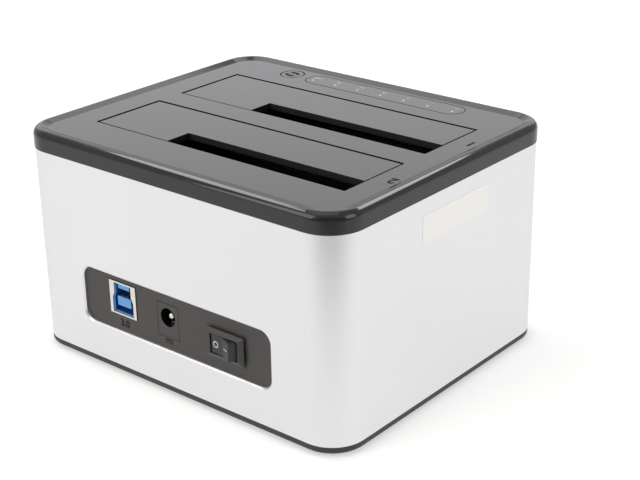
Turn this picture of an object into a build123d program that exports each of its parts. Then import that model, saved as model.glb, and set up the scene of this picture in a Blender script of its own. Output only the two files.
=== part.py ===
from build123d import *
import math
import os

# Dual-bay drive dock, in millimetres, with +Z up. The front (indicator strip) faces -Y,
# the rear panel with its sockets faces +Y, and the dock stands on its feet at Z = 0.
# Pieces are drawn about the axis of the sleeve and moved together at the end, so that the
# origin lies below the middle of the whole dock.

# Shared allowances
overrun = 1.0
fit_gap = 0.15
thread_gap = 0.05

# The two bays for the drives, front bay first. The dock is built outwards from them.
bay_length = 103.5
bay_width = 28.8
bay_spacing = 10.2
bay_corner = 0.5
slot_length = 71.5
slot_width = 10.3
well_depth = 47.8
left_end_gap = 1.8
right_end_gap = 3.6

# Aluminium sleeve, with the window for the rear panel
sleeve_corner = 11.5
sleeve_wall = 1.2
window_width = 80.4
window_corner = 3.8
window_rise = 12.4
window_headroom = 2.0
window_chamfer = 0.5

# Base tray and its rubber feet
foot_drop = 1.2
foot_radius = 6.0
foot_sink = 0.8
foot_inset_x = 20.7
foot_inset_y = 19.1
base_thickness = 2.4
base_edge_round = 1.1
base_lip_height = 3.0
base_lip_wall = 1.6
base_boss_height = 2.0
base_boss_radius = 4.2

# Lid: skirt, low raised rim and flat panel
lid_overhang = 0.25
lid_panel_rise = 5.6
lid_plate = 2.4
lid_lip_depth = 3.5
lid_lip_wall = 1.6
rim_rise = 0.85
rim_round = 2.4
rim_crest = 0.25
rim_slope_width = 2.4

# Spring flaps, their hinge pins and torsion springs
flap_gap = 0.8
flap_sink = 0.15
flap_plate = 1.6
flap_rim_depth = 2.1
flap_rim_wall = 1.2
flap_rib_count = 4
hinge_top_gap = 0.15
hinge_bay_gap = 0.3
pin_radius = 0.8
pin_fit = 0.03
knuckle_fit = 0.06
knuckle_radius = 1.7
knuckle_width = 8.0
knuckle_reach = 4.0
ear_width = 3.0
ear_gap = 0.3
station_inset = 16.0
spring_wire = 0.5
spring_radius = 1.5
spring_pitch = 1.1
spring_turns = 3
spring_samples = 80
spring_wire_sides = 8
spring_flap_arm = 7.0
spring_lid_arm = 3.0

# Drive cradle: two wells on one floor, carried by four posts
well_gap = 0.3
well_wall = 1.6
cradle_floor = 2.0
hinge_relief = 7.5
post_inset_x = 10.2
post_inset_y = 9.1
post_radius = 3.5
post_rise = 12.0
post_web = 1.6
post_arm_width = 8.0
tie_width = 1.6
tie_height = 34.0
tie_count = 3
shelf_thickness = 2.0
shelf_overlap = 1.0
bracket_gap = 0.35
bracket_width = 9.6
bracket_thickness = 2.2
bracket_spread = 44.0
bracket_web = 1.2
bracket_web_height = 12.0

# Screws, each with its head below what it holds
base_screw_radius = 1.4
base_screw_head = 2.7
base_screw_head_height = 1.6
base_screw_length = 12.0
base_screw_seat = 1.2
small_screw_radius = 1.1
small_screw_head = 2.2
small_screw_head_height = 1.4
small_screw_length = 6.0
recess_radius = 0.9
recess_depth = 0.8
lid_boss_radius = 3.0
lid_boss_length = 7.8
lid_boss_gap = 0.4

# Rear panel plate and the ribs that hold its foot
panel_side_lap = 2.8
panel_top_lap = 3.1
panel_thickness = 2.0
panel_rib_width = 6.0
panel_rib_height = 8.0
panel_rib_wall = 1.6
panel_rib_inset = 5.0
port_gap = 0.15
port_room = 0.6

# Main board, its stand-offs, chips and capacitors
board_rise = 4.4
board_side_gap = 0.5
board_front_reach = 7.5
board_rear_gap = 1.9
board_thickness = 1.6
standoff_length = 3.6
standoff_radius = 2.8
standoff_inset = 2.9
standoff_front_inset = 4.5
standoff_rear_inset = 19.1
chip_size = 10.0
chip_spread = 51.5
chip_height = 1.2
chip_lead = 0.8
chip_lead_height = 0.4
crystal_length = 11.0
crystal_width = 4.4
crystal_height = 2.4
small_can_radius = 2.4
small_can_height = 6.5
small_can_x = -25.8
small_can_pitch = 7.2
small_can_count = 3
large_can_radius = 3.2
large_can_height = 8.0
can_top_bevel = 0.4
can_vent_depth = 0.3
can_vent_share = 0.5

# Drive sockets and their blades
socket_length = 42.0
socket_width = 6.4
socket_height = 8.6
socket_end_distance = 28.65
socket_edge_distance = 4.8
socket_window_gap = 0.6
horn_length = 2.2
horn_rise = 3.0
key_width = 2.3
key_depth = 5.5
power_key_length = 21.4
signal_key_length = 11.4
key_spacing = 2.6
key_hook = 1.2
blade_pitch = 1.27
blade_width = 0.6
blade_thickness = 0.35
blade_height = 4.6
power_blades = 15
signal_blades = 7

# USB receptacle: shell, insert and contacts
usb_x = 22.9
usb_width = 11.8
usb_height = 11.4
usb_depth = 14.5
usb_heel = 2.0
usb_leg_width = 1.5
usb_wall = 0.4
usb_proud = 0.3
usb_standing = 1.1
usb_mouth_width = 9.3
usb_mouth_height = 5.0
usb_mouth_slope = 1.8
usb_neck_width = 7.6
usb_mouth_edge = 0.5
usb_lining = 0.4
usb_lining_set = 0.1
usb_cavity_depth = 9.0
usb_tongue_width = 6.0
usb_tongue_height = 3.2
usb_tongue_rise = 3.0
usb_tongue_set = 0.1
usb_pin_set = 0.5
usb_upper_height = 1.5
usb_upper_width = 5.0
usb_pin_width = 0.8
usb_pin_thickness = 0.2
usb_pin_length = 5.5
usb_pin_pitch = 2.0
usb_upper_pin_pitch = 1.0
usb_pin_count = 2
usb_upper_pin_count = 4

# Power jack: body, centre pin and contact leaf
dc_x = 2.95
dc_width = 9.0
dc_height = 11.0
dc_flange_drop = 0.4
dc_depth = 14.4
dc_bore_radius = 3.15
dc_bore_rise = 6.4
dc_bore_depth = 9.5
dc_pin_radius = 1.05
dc_pin_round = 0.5
dc_pin_set = 1.2
dc_leaf_width = 2.0
dc_leaf_thickness = 0.4
dc_leaf_set = 2.5

# Rocker switch: housing with a bevelled bezel, rocker and terminals
switch_x = -21.95
switch_drop = 0.45
bezel_width = 15.4
bezel_height = 9.9
bezel_neck = 0.85
bezel_neck_inset = 0.8
bezel_side = 0.15
bezel_rise = 1.7
bezel_bevel = 1.45
switch_body_width = 13.4
switch_body_height = 8.5
switch_body_depth = 11.5
switch_floor = 2.0
rocker_height = 6.4
rocker_end_radius = 5.4
rocker_gap = 0.1
rocker_throw_angle = 27.0
rocker_edge_height = 3.04
rocker_dish_depth = 0.83
rocker_pivot_depth = 2.15
rocker_keel_width = 3.2
rocker_keel_depth = 3.4
rocker_stub_radius = 0.8
rocker_stub_length = 0.7
rocker_edge_round = 0.3
terminal_width = 2.0
terminal_thickness = 0.6
terminal_length = 3.6
terminal_spread = 7.0
switch_lead_radius = 0.7
switch_lead_splay = 2.4
switch_lead_bend = 1.4

# Indicator strip: film, light guide, board, lamps
strip_x = -5.9
strip_setback = 11.7
strip_front_inset = 10.8
strip_length = 66.4
strip_width = 9.4
film_thickness = 0.25
film_gap = 0.1
lamp_count = 7
lamp_pitch = 9.9
lamp_setback = 1.4
guide_rod_radius = 1.1
guide_rod_gap = 0.15
guide_bar_width = 4.0
guide_bar_depth = 3.6
lamp_length = 2.0
lamp_width = 1.25
lamp_height = 0.8
strip_board_tail = 7.1
strip_board_width = 9.6
strip_board_thickness = 1.2
strip_boss_radius = 2.1
strip_boss_inset = 2.5
strip_boss_gap = 0.2

# Clone button and the tactile switch below it
button_spacing = 3.0
button_radius = 4.3
button_gap = 0.2
button_flange = 0.9
button_flange_height = 0.9
button_flange_drop = 0.1
button_travel = 0.5
button_edge_bevel = 0.3
tact_size = 6.0
tact_height = 3.5
tact_clearance = 0.7
tact_plunger_radius = 1.75
tact_plunger_gap = 0.08
tact_plunger_sink = 1.2
tact_plunger_rest = 0.2

# Flat lead between the two boards, with a plug at each end
lead_x = 20.0
lead_width = 8.0
lead_thickness = 1.0
lead_bend = 9.0
lead_low_share = 0.38
lead_high_share = 0.32
plug_edge = 0.4
plug_length = 10.0
plug_width = 4.4
plug_height = 5.0

# Levels, from the feet up
base_top = foot_drop + base_thickness
window_bottom = base_top + window_rise
board_top = window_bottom + board_rise
board_bottom = board_top - board_thickness
usb_bottom = board_top + usb_standing
window_top = usb_bottom + usb_height + window_headroom
panel_top_z = window_top + panel_top_lap
switch_z = (window_bottom + window_top) / 2 - switch_drop
cradle_floor_z = board_top + standoff_length
cradle_floor_top = cradle_floor_z + cradle_floor
post_top_z = cradle_floor_top + post_rise
plate_bottom = cradle_floor_top + well_depth
hinge_z = plate_bottom - max(knuckle_radius, spring_radius + spring_wire / 2) - hinge_top_gap
panel_z = plate_bottom + lid_plate
crest_z = panel_z + rim_rise
sleeve_top = panel_z - lid_panel_rise
flap_top = panel_z - flap_sink
button_bottom = plate_bottom - button_flange_drop - button_flange_height
strip_board_top = button_bottom - tact_clearance - tact_height
strip_board_bottom = strip_board_top - strip_board_thickness

# Places along X, from the bays out to the sleeve's ends
well_reach = well_gap + well_wall
lip_reach = sleeve_wall + fit_gap + lid_lip_wall
end_room = lip_reach + lid_boss_gap + 2 * lid_boss_radius + well_reach
sleeve_width = left_end_gap + 2 * end_room + bay_length + right_end_gap
bay_left = end_room + left_end_gap - sleeve_width / 2
bay_right = bay_left + bay_length
bay_x = (bay_left + bay_right) / 2
cradle_left = bay_left - well_reach
cradle_right = bay_right + well_reach
bracket_end = sleeve_width / 2 - sleeve_wall - bracket_gap
bracket_hole_x = sleeve_width / 2 - lip_reach - lid_boss_gap - lid_boss_radius
post_x = sleeve_width / 2 - post_inset_x
board_width = 2 * (post_x - post_radius - board_side_gap)
socket_x = bay_left + socket_end_distance
panel_width = window_width + 2 * panel_side_lap
stations = [bay_left + station_inset, bay_right - station_inset]
hinge_end = knuckle_width / 2 + ear_gap + ear_width
lamp_places = [strip_x + (i - (lamp_count - 1) / 2) * lamp_pitch for i in range(lamp_count)]
button_x = strip_x + strip_length / 2 + button_spacing + button_radius
flange_radius = button_radius + button_gap + button_flange
strip_board_left = strip_x - strip_length / 2 - strip_board_tail
strip_boss_right = button_x + flange_radius + strip_boss_gap + strip_boss_radius
strip_board_right = strip_boss_right + strip_boss_inset

# Places along Y, from the sleeve's front back to its rear wall
port_depth = max(usb_heel + usb_depth - usb_proud, dc_depth, switch_body_depth + terminal_length)
rear_room = well_reach + port_room + port_depth + sleeve_wall
sleeve_depth = strip_front_inset + strip_setback + 2 * bay_width + bay_spacing + rear_room
sleeve_rear = sleeve_depth / 2
strip_y = strip_front_inset - sleeve_rear
lamp_y = strip_y + lamp_setback
bay_pitch = bay_width + bay_spacing
front_bay_y = strip_y + strip_setback + bay_width / 2
bay_centres = [front_bay_y, front_bay_y + bay_pitch]
cradle_front = front_bay_y - bay_width / 2 - well_reach
cradle_rear = front_bay_y + bay_pitch + bay_width / 2 + well_reach
panel_face_y = sleeve_rear - sleeve_wall
panel_back_y = panel_face_y - panel_thickness
post_y = sleeve_depth / 2 - post_inset_y
board_front = cradle_front - board_front_reach
board_rear = panel_back_y - board_rear_gap
lead_lower_y = board_front + plug_edge + plug_width / 2
usb_face_y = panel_face_y + usb_proud
switch_back_y = panel_face_y - switch_body_depth
bezel_face_y = panel_face_y + bezel_rise


# Shared forms

def block(x_low, x_high, y_low, y_high, z_low, z_high):
    """A box between two corners."""
    centre = Pos((x_low + x_high) / 2, (y_low + y_high) / 2, (z_low + z_high) / 2)
    return centre * Box(x_high - x_low, y_high - y_low, z_high - z_low)


def rod(x, y, radius, z_low, z_high):
    """An upright cylinder."""
    return Pos(x, y, (z_low + z_high) / 2) * Cylinder(radius, z_high - z_low)


def upright(sketch, z_low, z_high):
    """A plan outline raised from one level to another."""
    return extrude(Pos(0, 0, z_low) * sketch, amount=z_high - z_low)


def rearward(sketch, y_front, y_rear):
    """An outline in X and Z, drawn out from one depth to another."""
    return extrude(Plane.XZ.offset(-y_rear) * sketch, amount=y_rear - y_front)


def sideways(sketch, x_low, x_high):
    """An outline in Y and Z, drawn out along X."""
    return extrude(Plane.YZ.offset(x_low) * sketch, amount=x_high - x_low)


def outline(points):
    """A closed face through points, joined by straight lines."""
    return make_face(Polyline(*points, close=True))


def corners(spread_x, spread_y):
    """The four places of a centred rectangular pattern."""
    return [(sx * spread_x / 2, sy * spread_y / 2) for sx in (-1, 1) for sy in (-1, 1)]


def sleeve_outline(inset):
    """The sleeve's plan, drawn in by an inset."""
    return RectangleRounded(sleeve_width - 2 * inset, sleeve_depth - 2 * inset, sleeve_corner - inset)


def screw(x, y, seat_z, radius, length, head_radius, head_height):
    """A pan-head screw that points up, with its head below the seat."""
    head = rod(x, y, head_radius, seat_z - head_height, seat_z)
    recess = rod(x, y, recess_radius, seat_z - head_height, seat_z - head_height + recess_depth)
    return head + rod(x, y, radius, seat_z, seat_z + length) - recess


# Outer shells

def make_side_sleeve():
    """Extruded tube with rounded corners and the rear window."""
    tube = upright(sleeve_outline(0), base_top, sleeve_top)
    tube -= upright(sleeve_outline(sleeve_wall), base_top - overrun, sleeve_top + overrun)
    centre = Pos(0, (window_bottom + window_top) / 2)
    height = window_top - window_bottom
    window = centre * RectangleRounded(window_width, height, window_corner)
    tube -= rearward(window, panel_face_y - overrun, sleeve_rear + overrun)
    grow = 2 * window_chamfer
    outer = centre * RectangleRounded(window_width + grow, height + grow, window_corner + window_chamfer)
    inner_face = Plane.XZ.offset(window_chamfer - sleeve_rear) * window
    outer_face = Plane.XZ.offset(-sleeve_rear) * outer
    return tube - loft([inner_face, outer_face], ruled=True)


def make_base_plate():
    """Tray with a rounded lower edge, a locating lip, screw bosses and foot recesses."""
    tray = upright(sleeve_outline(0), foot_drop, base_top)
    tray = fillet(tray.faces().sort_by(Axis.Z)[0].edges(), base_edge_round)
    lip = upright(sleeve_outline(sleeve_wall + fit_gap), base_top, base_top + base_lip_height)
    lip -= upright(sleeve_outline(sleeve_wall + fit_gap + base_lip_wall), base_top - overrun,
                   base_top + base_lip_height + overrun)
    half_gap = panel_width / 2 + fit_gap
    lip -= block(-half_gap, half_gap, 0, sleeve_rear, base_top, base_top + base_lip_height)
    tray += lip
    boss_top = base_top + base_boss_height
    for x, y in corners(2 * post_x, 2 * post_y):
        tray += rod(x, y, base_boss_radius, base_top, boss_top)
    for x, y in corners(2 * post_x, 2 * post_y):
        seat = boss_top - base_boss_height + fit_gap - base_screw_seat
        tray -= rod(x, y, base_screw_head + fit_gap, foot_drop - overrun, seat)
        tray -= rod(x, y, base_screw_radius + fit_gap, seat, boss_top + overrun)
    for x, y in foot_places():
        tray -= rod(x, y, foot_radius + fit_gap, foot_drop - overrun, foot_drop + foot_sink)
    for side in (-1, 1):
        middle = side * (panel_width / 2 - panel_rib_inset)
        tray += block(middle - panel_rib_width / 2, middle + panel_rib_width / 2,
                      panel_back_y - panel_rib_wall, panel_back_y, base_top, base_top + panel_rib_height)
    return tray


def foot_places():
    """The four places of the rubber feet."""
    return corners(sleeve_width - 2 * foot_inset_x, sleeve_depth - 2 * foot_inset_y)


def lid_outline(inset):
    """The lid's plan, drawn in by an inset."""
    return sleeve_outline(inset - lid_overhang)


def hinge_y(bay):
    """The line of a bay's hinge pin, in front of the bay's front edge."""
    return bay_centres[bay] - bay_width / 2 - hinge_bay_gap - knuckle_radius


def bay_outline(bay, inset):
    """A bay's opening in plan, drawn in by an inset."""
    return Pos(bay_x, bay_centres[bay]) * Rectangle(bay_length - 2 * inset, bay_width - 2 * inset)


def make_top_cover():
    """Moulded lid with a raised rim, bay openings, hinge ears and screw bosses."""
    lid = upright(lid_outline(0), sleeve_top, crest_z)
    lid = fillet(lid.faces().sort_by(Axis.Z)[-1].edges(), rim_round)
    crest_inset = rim_round + rim_crest
    dish_over = rim_slope_width * overrun / rim_rise
    dish = loft([Pos(0, 0, panel_z) * lid_outline(crest_inset + rim_slope_width),
                 Pos(0, 0, crest_z + overrun) * lid_outline(crest_inset - dish_over)], ruled=True)
    lid -= dish
    lid -= upright(sleeve_outline(lip_reach), sleeve_top - overrun, plate_bottom)
    lip = upright(sleeve_outline(lip_reach - lid_lip_wall), sleeve_top - lid_lip_depth, sleeve_top)
    lid += lip - upright(sleeve_outline(lip_reach), sleeve_top - lid_lip_depth - overrun, sleeve_top)
    for bay in range(len(bay_centres)):
        rounded = Pos(bay_x, bay_centres[bay]) * RectangleRounded(bay_length, bay_width, bay_corner)
        lid -= upright(rounded, plate_bottom - overrun, panel_z + overrun)
        for ear in hinge_ears(bay):
            lid += ear
    for x, y in corners(2 * bracket_hole_x, bracket_spread):
        lid += rod(x, y, lid_boss_radius, plate_bottom - lid_boss_length, plate_bottom)
        lid -= rod(x, y, small_screw_radius + thread_gap, plate_bottom - lid_boss_length, plate_bottom)
    for x in strip_boss_places():
        lid += rod(x, strip_y, strip_boss_radius, strip_board_top, plate_bottom)
        lid -= rod(x, strip_y, small_screw_radius + thread_gap, strip_board_top, plate_bottom)
    pill = Pos(strip_x, strip_y) * SlotOverall(strip_length, strip_width)
    lid -= upright(pill, panel_z - film_thickness, panel_z + overrun)
    for x in lamp_places:
        lid -= rod(x, lamp_y, guide_rod_radius + guide_rod_gap, plate_bottom - overrun, panel_z)
    return lid - rod(button_x, strip_y, button_radius + button_gap, plate_bottom - overrun, panel_z + overrun)


def hinge_ears(bay):
    """Ears below the lid that hold a flap's pin, two at each hinge station."""
    y = hinge_y(bay)
    cheek = Pos(y, hinge_z) * Circle(knuckle_radius)
    cheek += outline([(y - knuckle_radius, hinge_z), (y + knuckle_radius, hinge_z),
                      (y + knuckle_radius, plate_bottom), (y - knuckle_radius, plate_bottom)])
    cheek -= Pos(y, hinge_z) * Circle(pin_radius + pin_fit)
    ears = []
    for station in stations:
        for side in (-1, 1):
            middle = station + side * (knuckle_width / 2 + ear_gap + ear_width / 2)
            ears.append(sideways(cheek, middle - ear_width / 2, middle + ear_width / 2))
    return ears


def strip_boss_places():
    """The two places of the indicator board's screws."""
    return [strip_board_left + strip_boss_inset, strip_boss_right]


# Flaps and hinges

def flap_outline(bay, inset):
    """L-shaped plan of a flap: the bay less the slot for the small drive."""
    slot = Pos(bay_left + slot_length / 2, bay_centres[bay] + bay_width / 2 - slot_width / 2)
    grow = 2 * (inset - flap_gap)
    return bay_outline(bay, inset) - slot * Rectangle(slot_length + grow, slot_width + grow)


def make_flap(bay):
    """Flap plate with a turned-down rim, ribs and two hinge knuckles."""
    plate_low = flap_top - flap_plate
    rim_low = flap_top - flap_rim_depth
    flap = upright(flap_outline(bay, flap_gap), rim_low, flap_top)
    flap -= upright(flap_outline(bay, flap_gap + flap_rim_wall), rim_low - overrun, plate_low)
    front = bay_centres[bay] - bay_width / 2 + flap_gap
    rib_rear = front + bay_width - slot_width - 2 * flap_gap
    for i in range(flap_rib_count):
        x = spring_start() - spring_wire / 2 - i * (stations[1] - stations[0]) / flap_rib_count
        flap += block(x - flap_rim_wall / 2, x + flap_rim_wall / 2, front, rib_rear, rim_low, plate_low)
    y = hinge_y(bay)
    arm = outline([(y, hinge_z + knuckle_radius), (front, hinge_z + knuckle_radius), (front, plate_low),
                   (front + knuckle_reach, plate_low), (y, hinge_z - knuckle_radius)])
    arm += Pos(y, hinge_z) * Circle(knuckle_radius)
    arm -= Pos(y, hinge_z) * Circle(pin_radius + knuckle_fit)
    for station in stations:
        flap += sideways(arm, station - knuckle_width / 2, station + knuckle_width / 2)
    return flap


def make_flap_pin(bay):
    """Steel pin through the ears and knuckles of both stations."""
    profile = Pos(hinge_y(bay), hinge_z) * Circle(pin_radius)
    return sideways(profile, stations[0] - hinge_end, stations[1] + hinge_end)


def spring_start():
    """X of the torsion spring's flap arm, beside the inner ear of the right station."""
    return stations[1] - hinge_end - ear_gap - spring_wire / 2


def biarc(start, start_way, end, end_way):
    """Two arcs from one point to another that keep the direction at both ends."""
    across = end - start
    lead = across.dot(start_way + end_way)
    bend = 2 * (1 - start_way.dot(end_way))
    arm = (math.sqrt(lead * lead + bend * across.dot(across)) - lead) / bend
    first = start + start_way * arm
    second = end - end_way * arm
    middle = (first + second) / 2
    way = second - first
    return [TangentArc(start, middle, tangent=start_way), TangentArc(middle, end, tangent=way)]


def spring_path(bay):
    """Lid arm, three turns that step towards +X a quarter turn at a time, and flap arm."""
    y = hinge_y(bay)
    quarters = 4 * spring_turns
    step = spring_pitch / 4
    begin = spring_start() - spring_pitch * spring_turns
    lean = math.atan2(spring_pitch, 2 * math.pi * spring_radius)
    places = []
    ways = []
    for i in range(quarters + 1):
        turn = i * math.pi / 2
        places.append(Vector(begin + i * step, y + spring_radius * math.sin(turn),
                             hinge_z + spring_radius * math.cos(turn)))
        rise = lean if 0 < i < quarters else 0
        ways.append(Vector(math.sin(rise), math.cos(rise) * math.cos(turn), -math.cos(rise) * math.sin(turn)))
    edges = [Line(places[0] - ways[0] * spring_lid_arm, places[0])]
    for i in range(quarters):
        edges += biarc(places[i], ways[i], places[i + 1], ways[i + 1])
    edges.append(Line(places[-1], places[-1] + ways[-1] * spring_flap_arm))
    return Wire([edge.edge() for edge in edges])


def least_gap(path):
    """Clear distance between a spring's wire and itself, half a turn or more along it."""
    count = spring_turns * spring_samples
    places = [path @ (i / count) for i in range(count + 1)]
    skip = math.ceil(count * math.pi * spring_radius / path.length)
    apart = [(a - b).length for i, a in enumerate(places) for b in places[i + skip:]]
    return min(apart) - spring_wire


def make_flap_spring(bay):
    """Torsion spring round the pin: one arm under the lid, the other under the flap."""
    path = spring_path(bay)
    section = Plane(origin=path @ 0, z_dir=path % 0) * RegularPolygon(spring_wire / 2, spring_wire_sides)
    print("flap spring, least gap between turns", round(least_gap(path), 3))
    return sweep(section, path=path)


# Cradle and screws

def make_drive_cradle():
    """Moulded frame: floor, two wells, posts down to the base and brackets to the lid."""
    cradle = block(cradle_left, cradle_right, cradle_front, cradle_rear, cradle_floor_z, cradle_floor_top)
    for x, y in corners(2 * post_x, 2 * post_y):
        cradle += post_arm(x, y)
    for y in bay_centres:
        front = y - bay_width / 2 - well_gap
        rear = y + bay_width / 2 + well_gap
        walls = block(cradle_left, cradle_right, front - well_wall, rear + well_wall,
                      cradle_floor_z, plate_bottom)
        walls -= block(bay_left - well_gap, bay_right + well_gap, front, rear,
                       cradle_floor_top, plate_bottom + overrun)
        walls -= block(bay_left - well_gap, bay_right + well_gap, front - well_wall - overrun,
                       front + overrun, hinge_z - hinge_relief, plate_bottom + overrun)
        cradle += walls
    cradle += cradle_ties()
    shelf_top = panel_top_z - fit_gap
    shelf_half = panel_width / 2 + shelf_overlap
    cradle += block(-shelf_half, shelf_half, cradle_rear - well_wall, panel_back_y,
                    shelf_top - shelf_thickness, shelf_top)
    for side in (-1, 1):
        for end in (-1, 1):
            cradle += lid_bracket(side, end * bracket_spread / 2)
    for x, y in standoff_places():
        cradle += rod(x, y, standoff_radius, board_top, cradle_floor_z)
        cradle -= rod(x, y, small_screw_radius + thread_gap, board_top, cradle_floor_z + cradle_floor / 2)
    for x, y in corners(2 * post_x, 2 * post_y):
        cradle -= rod(x, y, base_screw_radius + thread_gap, base_top, base_top + base_screw_length)
    for y in socket_places():
        half_length = socket_length / 2 + socket_window_gap
        half_width = socket_width / 2 + socket_window_gap
        cradle -= block(socket_x - half_length, socket_x + half_length, y - half_width,
                        y + half_width, cradle_floor_z - overrun, cradle_floor_top + overrun)
    return cradle


def post_arm(x, y):
    """A post that stands on the base, its arm to the floor and an upright web."""
    side = math.copysign(1, x)
    end = math.copysign(1, y)
    inner_y = cradle_rear - well_wall if end > 0 else cradle_front + well_wall
    arm_x = sorted([x - side * post_arm_width, x])
    arm_y = sorted([inner_y, y])
    web_x = x - side * (post_radius - post_web)
    piece = rod(x, y, post_radius, base_top + base_boss_height, post_top_z)
    piece += block(*arm_x, *arm_y, cradle_floor_z, cradle_floor_top)
    return piece + block(web_x - post_web / 2, web_x + post_web / 2, *arm_y, cradle_floor_z, post_top_z)


def cradle_ties():
    """Upright webs that join the two wells across the middle."""
    front = bay_centres[0] + bay_width / 2 + well_gap
    rear = bay_centres[1] - bay_width / 2 - well_gap
    ties = Part()
    for i in range(tie_count):
        x = bay_x + (i - (tie_count - 1) / 2) * bay_length / tie_count
        ties += block(x - tie_width / 2, x + tie_width / 2, front, rear, cradle_floor_z,
                      cradle_floor_top + tie_height)
    return ties


def lid_bracket(side, y):
    """A bracket at the end wall with a screw hole and two webs below it."""
    wall = cradle_right - well_wall if side > 0 else cradle_left + well_wall
    reach = side * bracket_end
    top = plate_bottom - lid_boss_length
    low = top - bracket_thickness
    xs = sorted([wall, reach])
    piece = block(*xs, y - bracket_width / 2, y + bracket_width / 2, low, top)
    profile = outline([(wall, low), (reach, low), (wall, low - bracket_web_height)])
    for edge in (-1, 1):
        web_y = y + edge * (bracket_width - bracket_web) / 2
        piece += rearward(profile, web_y - bracket_web / 2, web_y + bracket_web / 2)
    hole = rod(side * bracket_hole_x, y, small_screw_radius + fit_gap, low - overrun, top + overrun)
    return piece - hole


def standoff_places():
    """The four stand-offs that carry the main board."""
    half = board_width / 2 - standoff_inset
    rows = (cradle_front + standoff_front_inset, cradle_rear - standoff_rear_inset)
    return [(side * half, y) for side in (-1, 1) for y in rows]


def make_base_screws():
    """Long screws from below the base into the posts."""
    seat = base_top + fit_gap - base_screw_seat
    return [screw(x, y, seat, base_screw_radius, base_screw_length, base_screw_head, base_screw_head_height)
            for x, y in corners(2 * post_x, 2 * post_y)]


def make_cradle_screws():
    """Screws from the cradle's brackets up into the lid."""
    seat = plate_bottom - lid_boss_length - bracket_thickness
    length = small_screw_length + bracket_thickness
    return [screw(x, y, seat, small_screw_radius, length, small_screw_head, small_screw_head_height)
            for x, y in corners(2 * bracket_hole_x, bracket_spread)]


def make_board_screws():
    """Screws from below the main board into its stand-offs."""
    length = board_thickness + standoff_length
    return [screw(x, y, board_bottom, small_screw_radius, length, small_screw_head, small_screw_head_height)
            for x, y in standoff_places()]


def make_strip_screws():
    """Screws from below the indicator board into the lid."""
    length = plate_bottom - strip_board_bottom - fit_gap
    return [screw(x, strip_y, strip_board_bottom, small_screw_radius, length,
                  small_screw_head, small_screw_head_height) for x in strip_boss_places()]


def make_rubber_feet():
    """Four round feet set into the base."""
    return [rod(x, y, foot_radius, 0, foot_drop + foot_sink) for x, y in foot_places()]


# Rear panel and its sockets

def make_io_panel():
    """Plate behind the sleeve's window, with a cut-out for each socket."""
    plate = block(-panel_width / 2, panel_width / 2, panel_back_y, panel_face_y, base_top, panel_top_z)
    grow = 2 * port_gap
    usb = Pos(usb_x, usb_bottom + usb_height / 2) * Rectangle(usb_width + grow, usb_height + grow)
    jack = Pos(dc_x, board_top + (dc_height - dc_flange_drop) / 2)
    jack *= Rectangle(dc_width + grow, dc_height + dc_flange_drop + grow)
    switch = Pos(switch_x, switch_z) * Rectangle(switch_body_width + grow, switch_body_height + grow)
    for cut in (usb, jack, switch):
        plate -= rearward(cut, panel_back_y - overrun, panel_face_y + overrun)
    return plate


def usb_mouth(inset):
    """Mouth of the receptacle: wide below, drawn in by a slope to a narrow neck above."""
    low = usb_bottom + usb_mouth_edge + inset
    wide = usb_mouth_width / 2 - inset
    neck = usb_neck_width / 2 - inset
    shoulder = usb_bottom + usb_mouth_edge + usb_mouth_height
    top = usb_bottom + usb_height - usb_mouth_edge - inset
    half = [(wide, low), (wide, shoulder), (neck, shoulder + usb_mouth_slope), (neck, top)]
    mirrored = [(usb_x - x, z) for x, z in reversed(half)]
    return outline([(usb_x + x, z) for x, z in half] + mirrored)


def make_usb_shell():
    """Folded metal shell with a front face that has the keyed mouth."""
    centre = Pos(usb_x, usb_bottom + usb_height / 2)
    back = usb_face_y - usb_depth
    shell = rearward(centre * Rectangle(usb_width, usb_height), back, usb_face_y)
    inner = centre * Rectangle(usb_width - 2 * usb_wall, usb_height - 2 * usb_wall)
    shell -= rearward(inner, back - overrun, usb_face_y - usb_wall)
    leg_y = (back + panel_back_y) / 2
    for side in (-1, 1):
        middle = usb_x + side * (usb_width - usb_wall) / 2
        shell += block(middle - usb_wall / 2, middle + usb_wall / 2, leg_y - usb_leg_width / 2,
                       leg_y + usb_leg_width / 2, board_top, usb_bottom + usb_height / 2)
    return shell - rearward(usb_mouth(0), back, usb_face_y + overrun)


def make_usb_insert():
    """Blue insulator: block with a lined cavity, a lower tongue and an upper ledge."""
    centre = Pos(usb_x, usb_bottom + usb_height / 2)
    shell_back = usb_face_y - usb_depth
    back = shell_back - usb_heel
    front = usb_face_y - usb_wall - fit_gap
    grow = 2 * (usb_wall + fit_gap)
    insert = rearward(centre * Rectangle(usb_width - grow, usb_height - grow), back, front)
    insert -= rearward(usb_mouth(usb_lining), front - usb_cavity_depth, front + overrun)
    tongue_low = usb_bottom + usb_tongue_rise
    insert += block(usb_x - usb_tongue_width / 2, usb_x + usb_tongue_width / 2, front - usb_cavity_depth,
                    front - usb_tongue_set, tongue_low, tongue_low + usb_tongue_height)
    ledge_top = usb_bottom + usb_height - usb_wall - fit_gap
    insert += block(usb_x - usb_upper_width / 2, usb_x + usb_upper_width / 2, front - usb_cavity_depth,
                    front - usb_lining_set, usb_ledge_low(), ledge_top)
    foot = usb_width - grow
    return insert + block(usb_x - foot / 2, usb_x + foot / 2, back, shell_back - fit_gap, board_top,
                          usb_bottom + usb_height / 2)


def usb_ledge_low():
    """Lower face of the upper ledge."""
    return usb_bottom + usb_height - usb_mouth_edge - usb_lining - usb_upper_height


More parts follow.
